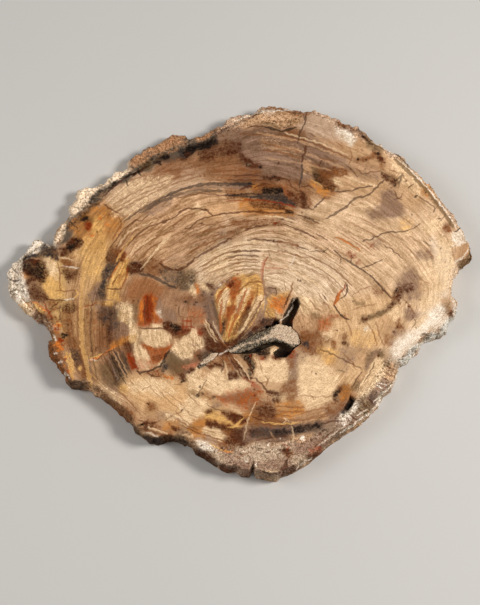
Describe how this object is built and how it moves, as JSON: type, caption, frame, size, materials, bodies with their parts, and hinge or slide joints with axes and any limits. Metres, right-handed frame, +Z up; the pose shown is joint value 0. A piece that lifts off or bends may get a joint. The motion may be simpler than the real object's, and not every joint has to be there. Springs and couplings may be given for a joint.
{
  "type": "petrified wood slice",
  "caption": "Flat polished slab of petrified wood with rough natural bark edges, lying on its sawn underside, with quartz crystals in a crevice at the pith.",
  "frame": {"origin": "on the flat underside, below the centre of the slab's bounding box", "axes": "+X along the slab's longest width, +Y across it, +Z up out of the polished face"},
  "size_m": [0.5903, 0.5002, 0.036],
  "materials": {
    "fossil_wood": "sawn and polished face, rough bark edge",
    "quartz_druse": "sugary crystal points"
  },
  "bodies": {
    "root": {"fossil_wood_slab": "fossil_wood", "crevice_druse": "quartz_druse", "seam_druse": "quartz_druse"}
  },
  "joints": []
}
